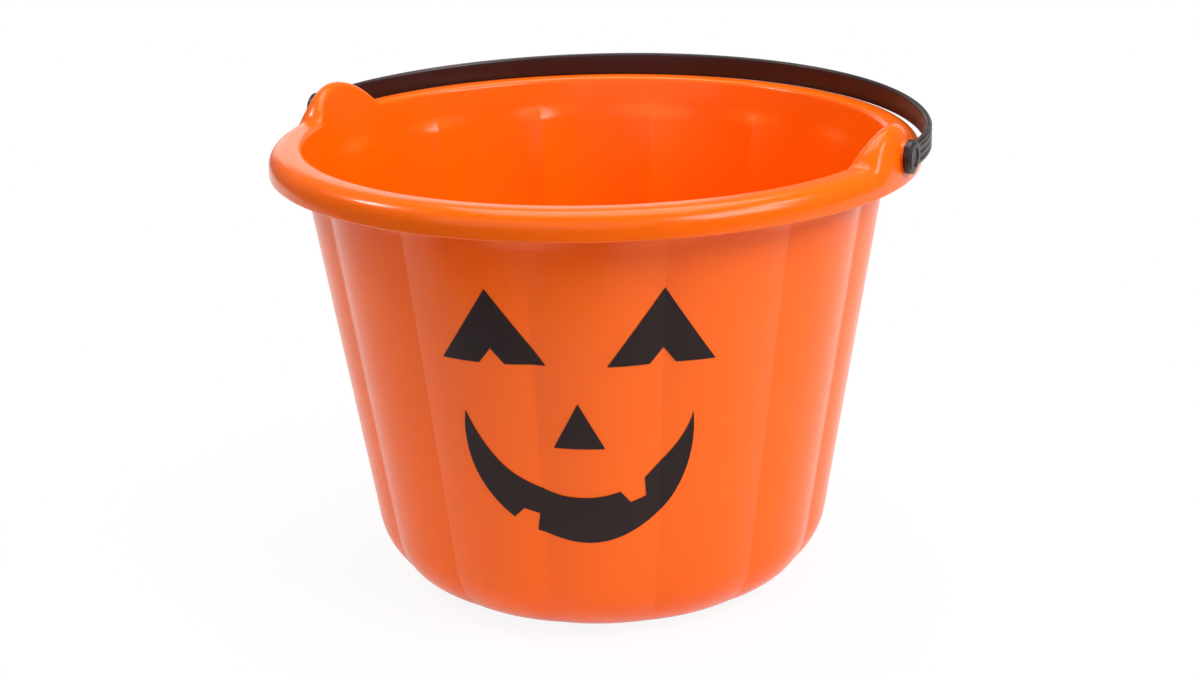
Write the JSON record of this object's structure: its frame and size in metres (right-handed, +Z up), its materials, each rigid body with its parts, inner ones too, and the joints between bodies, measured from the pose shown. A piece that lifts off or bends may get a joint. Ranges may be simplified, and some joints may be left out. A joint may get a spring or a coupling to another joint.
{
  "type": "pumpkin candy pail",
  "caption": "Round fluted pail shaped like a pumpkin, with a rolled rim, a grinning jack-o'-lantern face printed on its front and a folding strap handle hung on raised ears.",
  "frame": {"origin": "On the floor, at the centre of the base, which is also the bottom centre of the bounding box.", "axes": "+Z is up along the pail's axis. X runs along the handle's hinge, from ear to ear. The handle lies folded towards +Y at rest, and the face looks towards -Y, turned a little to +X."},
  "size_m": [0.2568, 0.25, 0.1876],
  "materials": {
    "orange_plastic": "smooth glossy injection moulding",
    "dark_plastic": "smooth glossy moulding",
    "print": "flat printed film"
  },
  "bodies": {
    "pail": {"pail_body": "orange_plastic", "left_eye_print": "print", "right_eye_print": "print", "nose_print": "print", "mouth_print": "print"},
    "handle": {"carry_handle": "dark_plastic"}
  },
  "joints": [
    {"name": "handle_swing", "type": "hinge", "parent": "pail", "child": "handle", "pos_m": [0, 0, 0.1765], "axis": [1, 0, 0], "range_deg": [0, 176.6]}
  ]
}
